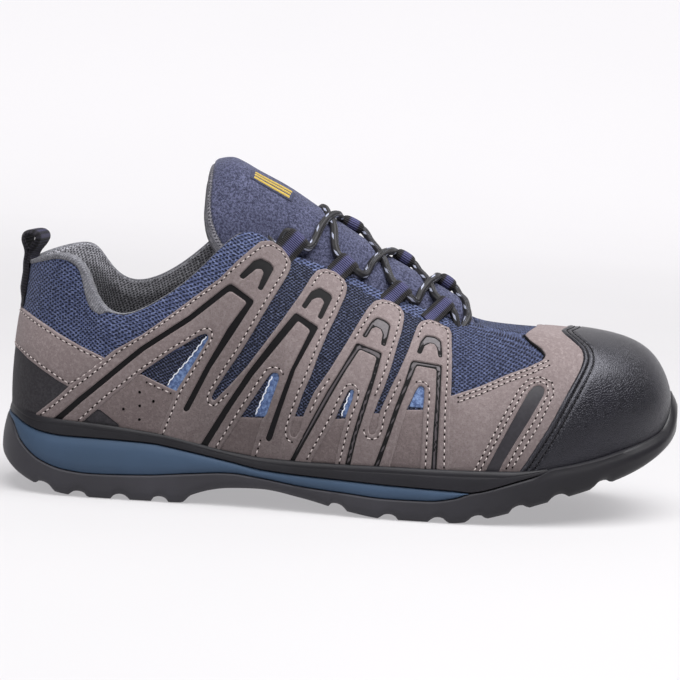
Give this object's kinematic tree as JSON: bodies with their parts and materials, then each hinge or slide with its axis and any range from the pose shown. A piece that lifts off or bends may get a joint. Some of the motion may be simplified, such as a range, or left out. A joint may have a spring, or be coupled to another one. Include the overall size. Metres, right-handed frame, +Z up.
{
  "type": "lace-up safety trainer",
  "caption": "Right lace-up safety trainer with a hollow suede and mesh upper, padded collar, tongue, leather toe cap, foam wedge and lugged rubber sole.",
  "frame": {"origin": "centre of the overall box in plan, on the floor under the lugs", "axes": "+X towards the toe, +Y towards the medial (inner) side, +Z up"},
  "size_m": [0.3, 0.1061, 0.147],
  "materials": {
    "tread_rubber": "matte",
    "wedge_foam": "matte",
    "rand_rubber": "satin",
    "insole_cloth": "matte",
    "suede_and_mesh": "matte",
    "tongue_cloth": "matte",
    "cap_leather": "satin",
    "pull_webbing": "matte",
    "lace_cord": "matte",
    "loop_webbing": "matte"
  },
  "bodies": {
    "root": {"outsole": "tread_rubber", "midsole_wedge": "wedge_foam", "sole_frame": "rand_rubber", "insole": "insole_cloth", "upper": "suede_and_mesh", "tongue": "tongue_cloth", "toe_cap": "cap_leather", "heel_pull_loop": "pull_webbing", "lace": "lace_cord", "lace_loop_lat_1": "loop_webbing", "lace_loop_lat_2": "loop_webbing", "lace_loop_lat_3": "loop_webbing", "lace_loop_lat_4": "loop_webbing", "lace_loop_med_1": "loop_webbing", "lace_loop_med_2": "loop_webbing", "lace_loop_med_3": "loop_webbing", "lace_loop_med_4": "loop_webbing"}
  },
  "joints": []
}
